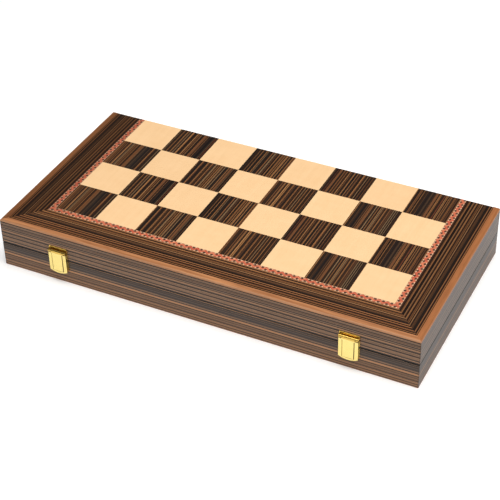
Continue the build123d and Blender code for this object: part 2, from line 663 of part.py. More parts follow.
                    # ears parted, eyes, nostrils and mouth
                    with BuildSketch(lying):
                        with Locations((5.0, 44.2)):
                            Ellipse(1.3, 0.8, rotation=-35)
                        with Locations((11.2, 35.9)):
                            Ellipse(0.8, 0.5, rotation=-35)
                        with BuildLine():
                            Polyline((8.8, 33.3), (11.8, 34.0), (11.8, 34.5), (8.8, 33.8),
                                     close=True)
                        make_face()
                    extrude(amount=6.0, both=True, mode=Mode.SUBTRACT)
                    with BuildSketch(lying):
                        with Locations((5.0, 44.2)):
                            Ellipse(1.5, 1.0, rotation=-35)
                        with Locations((11.0, 35.4)):
                            Circle(1.4)
                    extrude(amount=4.4, both=True)
                    with BuildSketch(lying):
                        for q in range(5):
                            with Locations((-9.6 + 0.55 * q + 0.12 * q * q, 24.0 + 5.2 * q)):
                                Rectangle(4.6, 0.9, rotation=-32 - 4 * q)
                    extrude(amount=6.0, both=True, mode=Mode.SUBTRACT)
                    with BuildSketch(lying):
                        with BuildLine():
                            Polyline((-7.6, 14.2), (-8.0, 22.0), (-8.4, 31.0), (-6.6, 39.0),
                                     (-2.6, 46.0), (3.5, 46.0), (3.5, 14.2), close=True)
                        make_face()
                    extrude(amount=4.5, both=True)
                add(head.part)
        man.part.label = f"{colour}_{name}"
        export_step(man.part, f"parts/{colour}_{name}.step")

    # eight pawns, feet to the front
    tall, foot, _waist = sizes["pawn"]
    with BuildPart() as pawns:
        for x in columns[half]:
            lying = Plane(origin=(x, pawn_foot_y, rest_z(foot)), x_dir=(1, 0, 0),
                          z_dir=(0, 0, 1))
            with BuildSketch(lying):
                with BuildLine():
                    a = foot_profile(foot)
                    ThreePointArc(a, (4.9, 15.5), (3.6, 25.0))
                    b = collar(3.6, 25.0, 7.0, 1.9)
                    ThreePointArc(b, (3.3, 27.6), (3.7, 28.6))
                    Line((3.7, 28.6), (3.7, ball_foot(3.7, 6.9, tall)))
                    ball_top(3.7, 6.9, tall)
                    Line((0, tall), (0, 0))
                make_face()
            revolve(axis=Axis((x, pawn_foot_y, rest_z(foot)), (0, 1, 0)))
    pawns.part.label = f"{colour}_pawns"
    export_step(pawns.part, f"parts/{colour}_pawns.step")

    # felt discs under the feet
    with BuildPart() as felts:
        for x, name in zip(columns[half], back_rank):
            foot = sizes[name.split("_")[0]][1]
            with BuildSketch(Plane.XZ.offset(-officer_foot_y)):
                with Locations((x, rest_z(foot))):
                    Circle(foot - 0.8)
            extrude(amount=-felt)
            foot = sizes["pawn"][1]
            with BuildSketch(Plane.XZ.offset(-pawn_foot_y)):
                with Locations((x, rest_z(foot))):
                    Circle(foot - 0.8)
            extrude(amount=felt)
    felts.part.label = f"{colour}_felts"
    export_step(felts.part, f"parts/{colour}_felts.step")
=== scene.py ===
import math

import bpy
from mathutils import Matrix, Vector

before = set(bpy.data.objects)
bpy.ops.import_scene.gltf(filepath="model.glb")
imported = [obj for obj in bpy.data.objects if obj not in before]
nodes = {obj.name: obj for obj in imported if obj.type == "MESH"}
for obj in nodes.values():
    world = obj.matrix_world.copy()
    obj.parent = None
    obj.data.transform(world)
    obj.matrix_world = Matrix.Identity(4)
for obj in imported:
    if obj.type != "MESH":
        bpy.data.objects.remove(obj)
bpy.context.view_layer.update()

scene = bpy.context.scene


def srgb(r, g, b):
    """A colour given as 0-255 display values, as linear light with alpha."""
    def one(c):
        c /= 255.0
        return c / 12.92 if c <= 0.04045 else ((c + 0.055) / 1.055) ** 2.4
    return (one(r), one(g), one(b), 1.0)


# ---------------------------------------------------------------- camera ----
cam = bpy.data.objects.new("camera", bpy.data.cameras.new("camera"))
scene.collection.objects.link(cam)
right = Vector((0.898818322, 0.437912449, -0.018929106))
down = Vector((0.250782146, -0.549190857, -0.797181107))
ahead = Vector((-0.359491223, 0.711773903, -0.603443428))
eye = Vector((0.556838, -1.105603, 0.948387))
cam.matrix_world = Matrix((
    (right.x, -down.x, -ahead.x, eye.x),
    (right.y, -down.y, -ahead.y, eye.y),
    (right.z, -down.z, -ahead.z, eye.z),
    (0, 0, 0, 1)))
cam.data.lens = 102.364
cam.data.sensor_width = 36.0
cam.data.shift_x = 0.0013
cam.data.clip_start, cam.data.clip_end = 0.05, 60.0
cam.data.dof.use_dof = False
scene.camera = cam
scene.view_settings.view_transform = "Standard"
scene.view_settings.look = "None"
scene.view_settings.exposure = 0.0
scene.view_settings.gamma = 1.0


# ------------------------------------------------------- material helpers ----
class Tree:
    """A node tree with short calls for the nodes used here. Lengths are in mm."""

    def __init__(self, name):
        self.mat = bpy.data.materials.new(name)
        self.mat.use_nodes = True
        self.t = self.mat.node_tree
        self.t.nodes.clear()
        self.out = self.t.nodes.new("ShaderNodeOutputMaterial")
        self.bsdf = self.t.nodes.new("ShaderNodeBsdfPrincipled")
        self.t.links.new(self.bsdf.outputs[0], self.out.inputs[0])
        coord = self.t.nodes.new("ShaderNodeTexCoord")
        scaled = self.t.nodes.new("ShaderNodeVectorMath")
        scaled.operation = "SCALE"
        scaled.inputs["Scale"].default_value = 1000.0
        self.t.links.new(coord.outputs["Object"], scaled.inputs[0])
        self.pos = scaled.outputs[0]
        split = self.t.nodes.new("ShaderNodeSeparateXYZ")
        self.t.links.new(self.pos, split.inputs[0])
        self.x, self.y, self.z = split.outputs

    def put(self, value, socket):
        if isinstance(value, bpy.types.NodeSocket):
            self.t.links.new(value, socket)
        elif socket.type == "VECTOR":
            socket.default_value = value[:3]
        else:
            socket.default_value = value

    def m(self, op, a, b=None, c=None, clamp=False):
        n = self.t.nodes.new("ShaderNodeMath")
        n.operation = op
        n.use_clamp = clamp
        for i, v in enumerate((a, b, c)):
            if v is not None:
                self.put(v, n.inputs[i])
        return n.outputs[0]

    def vec(self, x, y, z):
        n = self.t.nodes.new("ShaderNodeCombineXYZ")
        for i, v in enumerate((x, y, z)):
            self.put(v, n.inputs[i])
        return n.outputs[0]

    def stretch(self, vector, x, y, z):
        n = self.t.nodes.new("ShaderNodeVectorMath")
        n.operation = "MULTIPLY"
        self.put(vector, n.inputs[0])
        n.inputs[1].default_value = (x, y, z)
        return n.outputs[0]

    def noise(self, where, scale=1.0, detail=2.0, rough=0.5, dims="3D"):
        n = self.t.nodes.new("ShaderNodeTexNoise")
        n.noise_dimensions = dims
        self.put(where, n.inputs["W" if dims == "1D" else "Vector"])
        n.inputs["Scale"].default_value = scale
        n.inputs["Detail"].default_value = detail
        n.inputs["Roughness"].default_value = rough
        return n.outputs["Fac" if "Fac" in n.outputs else 0]

    def plies(self, w, scale, seed=0.0, spread=1.0):
        """Random value and random colour of each ply of a stack, 1/scale mm thick on average."""
        n = self.t.nodes.new("ShaderNodeTexVoronoi")
        n.voronoi_dimensions = "1D"
        n.feature = "F1"
        self.put(self.m("MULTIPLY_ADD", w, scale, seed), n.inputs["W"])
        n.inputs["Scale"].default_value = 1.0
        n.inputs["Randomness"].default_value = spread
        split = self.t.nodes.new("ShaderNodeSeparateColor")
        self.t.links.new(n.outputs["Color"], split.inputs[0])
        return split.outputs[0], split.outputs[1], split.outputs[2]

    def lines(self, u, spacing, width, seed, spread=0.9):
        """Thin lines across u, one per spacing mm on average and about width mm wide:
        a 0/1 mask and two random values for each line."""
        n = self.t.nodes.new("ShaderNodeTexVoronoi")
        n.voronoi_dimensions = "1D"
        n.feature = "F1"
        self.put(self.m("MULTIPLY_ADD", u, 1.0 / spacing, seed), n.inputs["W"])
        n.inputs["Scale"].default_value = 1.0
        n.inputs["Randomness"].default_value = spread
        split = self.t.nodes.new("ShaderNodeSeparateColor")
        self.t.links.new(n.outputs["Color"], split.inputs[0])
        half = self.m("MULTIPLY", self.spread(split.outputs[0], 0.5, 1.5), width / 2 / spacing)
        mask = self.m("LESS_THAN", n.outputs["Distance"], half)
        return mask, split.outputs[1], split.outputs[2]

    def ramp(self, fac, stops, interp="LINEAR"):
        n = self.t.nodes.new("ShaderNodeValToRGB")
        self.put(fac, n.inputs[0])
        n.color_ramp.interpolation = interp
        e = n.color_ramp.elements
        while len(e) < len(stops):
            e.new(0.5)
        for i, (p, c) in enumerate(stops):
            e[i].position = p
            e[i].color = c if isinstance(c, tuple) else (c, c, c, 1)
        return n.outputs[0]

    def mix(self, fac, a, b, how="MIX"):
        n = self.t.nodes.new("ShaderNodeMix")
        n.data_type = "RGBA"
        n.blend_type = how
        self.put(fac, n.inputs[0])
        self.put(a, n.inputs[6])
        self.put(b, n.inputs[7])
        return n.outputs[2]

    def shade(self, colour, factor):
        """colour times a grey factor."""
        n = self.t.nodes.new("ShaderNodeVectorMath")
        n.operation = "SCALE"
        self.put(colour, n.inputs[0])
        self.put(factor, n.inputs["Scale"])
        return n.outputs[0]

    def spread(self, value, low, high):
        """0-1 value moved to low-high."""
        return self.m("MULTIPLY_ADD", value, high - low, low)

    def near(self, value, centre, half):
        """1 where value is within half of centre, else 0."""
        return self.m("LESS_THAN", self.m("ABSOLUTE", self.m("SUBTRACT", value, centre)), half)

    def bump(self, height, distance_mm, strength=1.0):
        n = self.t.nodes.new("ShaderNodeBump")
        n.inputs["Strength"].default_value = strength
        n.inputs["Distance"].default_value = distance_mm / 1000.0
        self.put(height, n.inputs["Height"])
        self.t.links.new(n.outputs[0], self.bsdf.inputs["Normal"])

    def worn(self, radius_mm=0.6):
        """1 on convex edges, 0 on flats: where a bevelled normal leaves the true one."""
        bevel = self.t.nodes.new("ShaderNodeBevel")
        bevel.samples = 4
        bevel.inputs["Radius"].default_value = radius_mm / 1000.0
        geo = self.t.nodes.new("ShaderNodeNewGeometry")
        dot = self.t.nodes.new("ShaderNodeVectorMath")
        dot.operation = "DOT_PRODUCT"
        self.t.links.new(bevel.outputs[0], dot.inputs[0])
        self.t.links.new(geo.outputs["Normal"], dot.inputs[1])
        return self.ramp(dot.outputs["Value"], [(0.75, 1.0), (0.985, 0.0)])

    def finish(self, colour, rough, metallic=0.0, coat=0.0, coat_rough=0.2, spec=0.5, sheen=0.0,
               sheen_rough=0.5, ior=1.5):
        b = self.bsdf.inputs
        self.put(colour, b["Base Color"])
        self.put(rough, b["Roughness"])
        b["Metallic"].default_value = metallic
        b["IOR"].default_value = ior
        b["Specular IOR Level"].default_value = spec
        b["Coat Weight"].default_value = coat
        b["Coat Roughness"].default_value = coat_rough
        b["Sheen Weight"].default_value = sheen
        b["Sheen Roughness"].default_value = sheen_rough
        return self.mat


def wear(objs, mat):
    for o in objs:
        o.data.materials.clear()
        o.data.materials.append(mat)


# ------------------------------------------------------------- materials ----
def solid_wood(name, along, pale, deep, gap_shade=False, rough=0.40, spec=0.35, arris_highlight=None):
    """Straight-grained solid wood with its grain along one axis."""
    k = Tree(name)
    s = [0.16, 0.16, 0.16]
    s["xyz".index(along)] = 0.006
    bend = k.noise(k.stretch(k.pos, 0.008, 0.008, 0.008), 1.0, 2.0)
    where = k.stretch(k.pos, *s)
    n = k.t.nodes.new("ShaderNodeVectorMath")
    n.operation = "ADD"
    k.t.links.new(where, n.inputs[0])
    k.t.links.new(k.vec(bend, bend, bend), n.inputs[1])
    figure = k.noise(n.outputs[0], 2.4, 5.0, 0.6)
    f = [5.0, 5.0, 5.0]
    f["xyz".index(along)] = 0.12
    pores = k.noise(k.stretch(k.pos, *f), 1.0, 3.0, 0.7)
    colour = k.mix(k.ramp(figure, [(0.34, 0.0), (0.66, 1.0)]), deep, pale)
    colour = k.shade(colour, k.ramp(pores, [(0.30, 0.72), (0.48, 1.0), (0.8, 1.1)]))
    edge = k.worn(0.7)
    colour = k.mix(k.m("MULTIPLY", edge, 0.35), colour,
                   tuple(min(1.0, c * 1.35) for c in pale[:3]) + (1.0,))
    if arris_highlight is not None:
        # painted highlight: the rounded outer edge, whose normal is neither level nor upright, is
        # painted paler
        coord = k.t.nodes.new("ShaderNodeTexCoord")
        split = k.t.nodes.new("ShaderNodeSeparateXYZ")
        k.t.links.new(coord.outputs["Normal"], split.inputs[0])
        lean = k.ramp(k.m("ABSOLUTE", split.outputs[2]),
                      [(0.22, 0.0), (0.45, 1.0), (0.90, 1.0), (0.985, 0.0)])
        colour = k.mix(k.m("MULTIPLY", lean, 0.6), colour, arris_highlight)
    # painted shade: a near-black band on the rails' outer faces along the parting line between lid
    # and base
    if gap_shade:
        ax = k.m("SUBTRACT", 240.0, k.m("ABSOLUTE", k.x))
        ay = k.m("SUBTRACT", 120.0, k.m("ABSOLUTE", k.y))
        near_side = k.m("LESS_THAN", k.m("MINIMUM", ax, ay), 1.12)
        near_rim = k.near(k.z, 30.0, 0.7)
        colour = k.mix(k.m("MULTIPLY", near_side, near_rim), colour, srgb(14, 10, 8))
    k.bump(pores, 0.05, 0.5)
    return k.finish(colour, k.spread(figure, rough - 0.06, rough + 0.08), spec=spec)


PALER = [(0.0, srgb(146, 98, 58)), (0.34, srgb(120, 77, 45)), (0.60, srgb(126, 99, 70)),
         (0.80, srgb(162, 114, 70)), (0.93, srgb(108, 54, 33))]
DIMMER = [(0.0, srgb(62, 39, 25)), (0.5, srgb(50, 36, 27)), (0.8, srgb(76, 45, 27))]


def stripes(k, u, v, seed, ground, calm=None, spacing=3.2, width=0.85, paler=PALER,
            dimmer=DIMMER, wander=0.3, faint=0.65):
    """Engineered striped veneer: thin pale lines and thinner dim ones on a dark ground.
    u runs across the stripes and v along them; calm is 1 where the pale lines stop."""
    sway = k.noise(k.vec(k.m("MULTIPLY", v, 0.005), k.m("MULTIPLY", u, 0.01), seed), 1.0, 2.0)
    u = k.m("MULTIPLY_ADD", k.m("SUBTRACT", sway, 0.5), wander * 2, u)
    ply, tint, _ = k.plies(u, 1 / 1.7, seed * 1.7 + 3.1)
    colour = k.shade(ground, k.spread(ply, 0.62, 1.38))
    thin, tone, _ = k.lines(u, 1.9, 0.5, seed * 3.3 + 0.7)
    thin = k.m("MULTIPLY", thin, faint)
    bold, hue, strength = k.lines(u, spacing, width, seed * 2.1 + 5.2)
    bold = k.m("MULTIPLY", bold, k.spread(strength, 0.65, 1.0))
    if calm is not None:
        keep = k.m("SUBTRACT", 1.0, calm)
        thin = k.m("MULTIPLY", thin, k.spread(keep, 0.25, 1.0))
        bold = k.m("MULTIPLY", bold, keep)
    colour = k.mix(thin, colour, k.ramp(tone, dimmer, "CONSTANT"))
    colour = k.mix(bold, colour, k.ramp(hue, paler, "CONSTANT"))
    fibre = k.noise(k.vec(k.m("MULTIPLY", u, 4.2), k.m("MULTIPLY", v, 0.05), seed), 1.0, 3.0, 0.6)
    pores = k.noise(k.vec(k.m("MULTIPLY", u, 7.0), k.m("MULTIPLY", v, 0.22), seed + 5.0), 1.0, 2.0)
    colour = k.shade(colour, k.ramp(fibre, [(0.25, 0.80), (0.5, 1.0), (0.8, 1.20)]))
    colour = k.shade(colour, k.ramp(pores, [(0.30, 0.66), (0.40, 1.0)]))
    return colour, fibre, pores


def placed(k, colour, u, items):
    """Single stripes: (place, width, colour, strength) of each, in mm across u."""
    for place, width, tone, strength in items:
        colour = k.mix(k.m("MULTIPLY", k.near(u, place, width / 2), strength), colour, tone)
    return colour


def striped_squares(name, seed):
    """Stripes along Y. The veneer's figure repeats and is book-matched at the middle."""
    k = Tree(name)
    pitch = 56.75
    w = k.m("ABSOLUTE", k.x)
    sway = k.noise(k.vec(k.m("MULTIPLY", k.y, 0.005), k.m("MULTIPLY", k.x, 0.004), seed), 1.0)
    w = k.m("MULTIPLY_ADD", k.m("SUBTRACT", sway, 0.5), 2.0, w)
    tile = k.m("SUBTRACT", k.m("MULTIPLY", k.m("FRACT", k.m("MULTIPLY_ADD", w, 1 / pitch, 0.5)),
                               pitch), pitch / 2)
    black = k.near(tile, -7.4, 3.9)
    band, _, _ = k.plies(k.x, 1 / 6.0, seed)
    ground = k.ramp(band, [(0.0, srgb(31, 21, 16)), (0.3, srgb(40, 26, 17)),
                           (0.6, srgb(47, 30, 19)), (0.85, srgb(31, 23, 19))], "CONSTANT")
    ground = k.mix(k.m("MULTIPLY", black, 0.8), ground, srgb(22, 19, 19))
    colour, fibre, pores = stripes(k, k.x, k.y, seed, ground, k.m("MULTIPLY", black, 0.75))
    colour = placed(k, colour, tile, [
        (0.0, 2.6, srgb(104, 66, 40), 0.9), (-1.9, 0.7, srgb(50, 31, 20), 0.9),
        (10.5, 0.9, srgb(150, 106, 66), 0.7), (16.0, 0.8, srgb(138, 94, 56), 0.7),
        (22.4, 1.4, srgb(80, 50, 31), 0.7)])
    # painted light: the striped veneer is lighter to the right
    colour = k.shade(colour, k.m("MULTIPLY_ADD", k.x, 0.00035, 1.0))
    k.bump(pores, 0.03, 0.4)
    return k.finish(colour, k.spread(fibre, 0.32, 0.44), spec=0.2)


def border_distance(k):
    """Distance in from the nearest outer edge of the three that have a border."""
    side = k.m("SUBTRACT", 240.0, k.m("ABSOLUTE", k.x))
    front = k.m("ADD", k.y, 120.0)
    return k.m("MINIMUM", side, front), k.m("LESS_THAN", front, side)


def striped_border(name, seed):
    k = Tree(name)
    d, is_front = border_distance(k)
    v = k.m("ADD", k.m("MULTIPLY", k.x, is_front),
            k.m("MULTIPLY", k.y, k.m("SUBTRACT", 1.0, is_front)))
    u = k.m("MULTIPLY_ADD", is_front, -7.5, d)
    ground = k.ramp(k.m("MULTIPLY", u, 1 / 37.5), [
        (0.02, srgb(21, 14, 10)), (0.12, srgb(30, 19, 13)), (0.18, srgb(27, 17, 12)),
        (0.24, srgb(20, 14, 11)), (0.29, srgb(33, 21, 14)), (0.34, srgb(22, 17, 14)),
        (0.40, srgb(26, 19, 15)), (0.46, srgb(22, 17, 14)), (0.54, srgb(31, 20, 13)),
        (0.62, srgb(24, 16, 12)), (0.74, srgb(30, 19, 13)), (0.86, srgb(23, 15, 12)),
        (0.95, srgb(32, 20, 14))])
    black = k.m("MULTIPLY", k.near(u, 13.8, 1.8), 0.5)
    colour, fibre, pores = stripes(k, u, v, seed, ground, black, spacing=3.5, width=0.7,
                                   wander=0.12, faint=0.3)
    colour = placed(k, colour, u, [
        (1.6, 0.8, srgb(142, 94, 58), 0.9), (4.9, 0.7, srgb(136, 88, 55), 0.9),
        (8.3, 0.8, srgb(146, 96, 60), 0.9), (11.0, 0.9, srgb(146, 98, 62), 0.9),
        (16.0, 0.5, srgb(112, 78, 52), 0.7), (19.2, 0.9, srgb(148, 106, 71), 0.9),
        (22.6, 1.1, srgb(104, 66, 40), 0.85), (26.0, 0.8, srgb(150, 103, 65), 0.9),
        (29.4, 0.7, srgb(146, 104, 68), 0.85), (32.9, 0.8, srgb(128, 84, 52), 0.85),
        (36.6, 1.0, srgb(70, 43, 27), 0.8)])
    # painted light and shade: the front strip is brightened, its outer part less, and the side
    # strips darkened, the left one more than the right
    right = k.m("GREATER_THAN", k.x, 0.0)
    outer = k.ramp(k.m("MULTIPLY", d, 1 / 37.5), [(0.48, 1.0), (0.62, 0.0)])
    side_light = k.m("MULTIPLY_ADD", k.m("MULTIPLY", outer, right), -0.02,
                  k.spread(right, 0.60, 0.84))
    front_light = k.spread(outer, 1.25, 1.16)
    light_lift = k.m("ADD", k.m("MULTIPLY", is_front, front_light),
               k.m("MULTIPLY", k.m("SUBTRACT", 1.0, is_front), side_light))
    colour = k.shade(colour, light_lift)
    k.bump(pores, 0.03, 0.4)
    return k.finish(colour, k.spread(fibre, 0.34, 0.46), spec=0.15)


def striped_sides(name, seed):
    """Stripes level all round the case."""
    k = Tree(name)
    around = k.m("ADD", k.x, k.y)
    ground = k.ramp(k.m("MULTIPLY", k.z, 1 / 60.0), [
        (0.0, srgb(92, 72, 58)), (0.10, srgb(76, 60, 49)), (0.22, srgb(70, 56, 46)),
        (0.32, srgb(62, 51, 44)), (0.38, srgb(58, 49, 44)), (0.45, srgb(62, 52, 45)),
        (0.50, srgb(58, 47, 40)), (0.60, srgb(52, 42, 35)), (0.66, srgb(46, 38, 33)),
        (0.72, srgb(64, 51, 42)), (0.78, srgb(50, 41, 35)), (0.84, srgb(48, 39, 33)),
        (0.90, srgb(38, 32, 28)), (0.96, srgb(38, 32, 28))])
    calm = k.m("MULTIPLY", k.near(k.z, 23.4, 3.2), 0.7)
    colour, fibre, pores = stripes(
        k, k.z, around, seed, ground, calm, spacing=2.7, width=0.9, wander=0.5, faint=0.75,
        paler=[(0.0, srgb(148, 112, 84)), (0.35, srgb(172, 130, 96)), (0.65, srgb(128, 100, 78)),
               (0.86, srgb(184, 138, 102))],
        dimmer=[(0.0, srgb(78, 52, 34)), (0.5, srgb(52, 38, 28)), (0.8, srgb(100, 68, 45))])
    sway = k.noise(k.vec(k.m("MULTIPLY", around, 0.005), 0.0, seed), 1.0, 2.0)
    level = k.m("MULTIPLY_ADD", k.m("SUBTRACT", sway, 0.5), 1.2, k.z)
    colour = placed(k, colour, level, [
        (16.6, 2.3, srgb(166, 119, 82), 0.9), (14.4, 0.8, srgb(42, 30, 23), 0.85),
        (12.6, 0.8, srgb(130, 91, 62), 0.8), (9.6, 0.8, srgb(126, 88, 60), 0.8),
        (6.6, 0.8, srgb(140, 98, 67), 0.8), (3.4, 1.0, srgb(132, 91, 62), 0.8),
        (35.2, 0.6, srgb(122, 94, 72), 0.8), (38.0, 1.0, srgb(134, 102, 78), 0.8),
        (41.4, 0.6, srgb(112, 86, 66), 0.7), (44.0, 0.7, srgb(40, 30, 23), 0.7),
        (46.6, 1.3, srgb(156, 115, 82), 0.85), (50.2, 0.7, srgb(44, 32, 25), 0.7),
        (52.6, 0.7, srgb(138, 100, 71), 0.75), (55.8, 0.7, srgb(126, 92, 66), 0.7)])
    # painted shade along the joint between the trays: none in the middle of the front, where the
    # joint is tight, deepest towards the ends
    joint_shade_reach = k.ramp(k.m("MULTIPLY", k.m("ABSOLUTE", k.x), 1 / 240.0),
                   [(0.30, 0.0), (0.50, 0.5), (0.66, 1.0)])
    joint_shade = k.ramp(k.m("ABSOLUTE", k.m("SUBTRACT", k.z, 30.0)), [(0.86, 1.0), (1.12, 0.0)])
    colour = k.mix(k.m("MULTIPLY", joint_shade, joint_shade_reach), colour, srgb(16, 12, 10))
    # painted shade: the end faces are darkened
    end_shade = k.m("GREATER_THAN", k.m("ABSOLUTE", k.x), 239.3)
    colour = k.shade(colour, k.spread(end_shade, 1.0, 0.58))
    k.bump(pores, 0.03, 0.4)
    gloss = k.spread(fibre, 0.12, 0.22)
    return k.finish(colour, k.m("MULTIPLY_ADD", end_shade, 0.22, gloss), spec=0.22)


def pale_squares(name, seed):
    k = Tree(name)
    ix = k.m("FLOOR", k.m("DIVIDE", k.m("ADD", k.x, 196.0), 49.0))
    iy = k.m("FLOOR", k.m("DIVIDE", k.m("SUBTRACT", 120.0, k.y), 49.0))
    white = k.t.nodes.new("ShaderNodeTexWhiteNoise")
    white.noise_dimensions = "3D"
    k.t.links.new(k.vec(ix, iy, seed), white.inputs["Vector"])
    each = white.outputs["Value"]
    shift = k.m("MULTIPLY", each, 90.0)
    where = k.vec(k.m("MULTIPLY", k.m("ADD", k.x, shift), 0.20),
                  k.m("MULTIPLY", k.m("ADD", k.y, shift), 0.012), seed)
    figure = k.noise(where, 1.0, 4.0, 0.55)
    silk = k.noise(k.vec(k.m("MULTIPLY", k.x, 0.05), k.m("MULTIPLY", k.y, 0.09), each), 1.0, 3.0)
    fibre = k.noise(k.vec(k.m("MULTIPLY", k.x, 2.2), k.m("MULTIPLY", k.y, 0.08), each), 1.0, 2.0)
    fleck = k.noise(k.vec(k.m("MULTIPLY", k.x, 3.4), k.m("MULTIPLY", k.y, 0.9), each), 1.0, 1.0)
    colour = k.mix(k.ramp(figure, [(0.3, 0.0), (0.7, 1.0)]), srgb(229, 189, 141),
                   srgb(233, 194, 147))
    colour = k.mix(k.ramp(silk, [(0.35, 0.0), (0.75, 0.35)]), colour, srgb(237, 201, 156))
    colour = k.shade(colour, k.spread(fibre, 0.97, 1.03))
    colour = k.shade(colour, k.ramp(fleck, [(0.22, 0.93), (0.32, 1.0)]))
    colour = k.shade(colour, k.spread(each, 0.98, 1.01))
    k.bump(fibre, 0.02, 0.3)
    return k.finish(colour, k.spread(silk, 0.32, 0.44), spec=0.3)


def rope_inlay(name, seed):
    """Traditional rope banding: a coral ribbon that winds between dark beads, which
    alternate along the two edges, on a paler ground."""
    k = Tree(name)
    d, is_front = border_distance(k)
    s = k.m("ADD", k.m("MULTIPLY", k.x, is_front),
            k.m("MULTIPLY", k.y, k.m("SUBTRACT", 1.0, is_front)))
    t = k.m("SUBTRACT", d, 40.75)
    period = 8.8
    fuzz = k.noise(k.stretch(k.pos, 0.5, 0.5, 0.5), 1.0, 2.0)
    phase = k.m("MULTIPLY_ADD", s, 1 / period, k.m("MULTIPLY", fuzz, 0.06))
    zigzag = k.m("SUBTRACT", k.m("PINGPONG", k.m("MULTIPLY", phase, 2.0), 1.0), 0.5)
    off = k.m("ABSOLUTE", k.m("MULTIPLY_ADD", zigzag, -3.6, t))
    ribbon = k.m("LESS_THAN", off, 1.55)
    outline = k.near(off, 1.6, 0.22)
    leg, _, _ = k.plies(k.m("MULTIPLY_ADD", phase, 2.0, 0.5), 1.0, seed, 0.0)
    streak = k.noise(k.vec(k.m("MULTIPLY", s, 0.9), k.m("MULTIPLY", off, 1.8), seed), 1.0, 2.0)
    coral = k.mix(leg, srgb(186, 86, 62), srgb(206, 122, 88))
    coral = k.shade(coral, k.spread(streak, 0.78, 1.16))
    ground = k.mix(streak, srgb(212, 156, 120), srgb(236, 194, 158))
    # the left strip is darker
    ground = k.shade(ground, k.ramp(k.m("MULTIPLY_ADD", k.x, 1 / 480.0, 0.5),
                                    [(0.10, 0.72), (0.14, 1.0)]))
    coral = k.shade(coral, k.ramp(k.m("MULTIPLY_ADD", k.x, 1 / 480.0, 0.5),
                                  [(0.10, 0.80), (0.14, 1.0)]))
    colour = k.mix(ribbon, ground, coral)
    colour = k.mix(k.m("MULTIPLY", outline, 0.85), colour, srgb(100, 42, 28))

    def beads(offset, level):
        a = k.m("SUBTRACT", k.m("FRACT", k.m("ADD", phase, offset)), 0.5)
        a = k.m("MULTIPLY", a, period)
        b = k.m("MULTIPLY", k.m("SUBTRACT", t, level), 1.2)
        r = k.m("SQRT", k.m("ADD", k.m("MULTIPLY", a, a), k.m("MULTIPLY", b, b)))
        return k.m("LESS_THAN", r, 1.55)

    dots = k.m("MAXIMUM", beads(0.5, 1.55), beads(0.0, -1.55))
    colour = k.mix(k.m("MULTIPLY", dots, 0.95), colour, srgb(60, 26, 15))
    edges = k.m("GREATER_THAN", k.m("ABSOLUTE", t), 2.95)
    colour = k.mix(k.m("MULTIPLY", edges, 0.7), colour, srgb(84, 48, 30))
    k.bump(streak, 0.02, 0.3)
    return k.finish(colour, k.spread(streak, 0.34, 0.46), spec=0.3)


def plywood(name):
    k = Tree(name)
    ply, _, _ = k.plies(k.z, 1.1, 2.0)
    grain = k.noise(k.stretch(k.pos, 0.02, 0.9, 0.9), 1.0, 4.0, 0.6)
    colour = k.mix(grain, srgb(176, 138, 92), srgb(206, 170, 122))
    colour = k.shade(colour, k.spread(ply, 0.82, 1.05))
    k.bump(grain, 0.05, 0.5)
    return k.finish(colour, k.spread(grain, 0.6, 0.75))


def brass(name, centre=None):
    """Bright pressed brass: fine drawing lines, faint smears, paler worn edges. On a
    flap the pressed grooves either side of its middle carry painted shade, darker on the right."""
    k = Tree(name)
    lines = k.noise(k.stretch(k.pos, 9.0, 9.0, 0.35), 1.0, 2.0, 0.6)
    smear = k.noise(k.stretch(k.pos, 0.16, 0.16, 0.16), 1.0, 3.0)
    colour = k.mix(smear, srgb(224, 201, 122), srgb(234, 214, 138))
    edge = k.worn(0.35)
    colour = k.mix(k.m("MULTIPLY", edge, 0.5), colour, srgb(246, 232, 172))
    rough = k.m("ADD", k.spread(smear, 0.17, 0.27), k.m("MULTIPLY", lines, 0.05))
    # painted shade: the roll of the catch and the plate above it are darker and more golden, and a
    # little rougher
    high = k.m("GREATER_THAN", k.z, 38.9)
    colour = k.mix(k.m("MULTIPLY", high, 0.75), colour, srgb(196, 154, 62))
    rough = k.m("MULTIPLY_ADD", high, 0.03, rough)
    if centre is not None:
        away = k.m("ABSOLUTE", k.m("SUBTRACT", k.x, centre))
        front = k.m("LESS_THAN", k.y, -122.6)
        upright = k.m("MULTIPLY", k.near(away, 6.4, 0.42), k.near(k.z, 26.85, 11.2))
        # the lower end of the groove, which bows down a little in the middle
        bow = k.m("MULTIPLY_ADD", k.m("MULTIPLY", away, away), 0.0115, 15.62)
        level = k.m("MULTIPLY", k.near(k.m("SUBTRACT", k.z, bow), 0.0, 0.36),
                    k.m("LESS_THAN", away, 6.8))
        # painted shade in the pressed grooves beside the middle of the flap, darker in the right
        # groove
        groove_shade = k.m("MULTIPLY", k.m("MAXIMUM", upright, level), front)
        tone = k.mix(k.m("GREATER_THAN", k.x, centre), srgb(176, 148, 62), srgb(104, 72, 26))
        colour = k.mix(k.m("MULTIPLY", groove_shade, 0.9), colour, tone)
        rough = k.m("MULTIPLY_ADD", groove_shade, 0.25, rough)
    k.bump(lines, 0.006, 0.4)
    return k.finish(colour, rough, metallic=1.0)


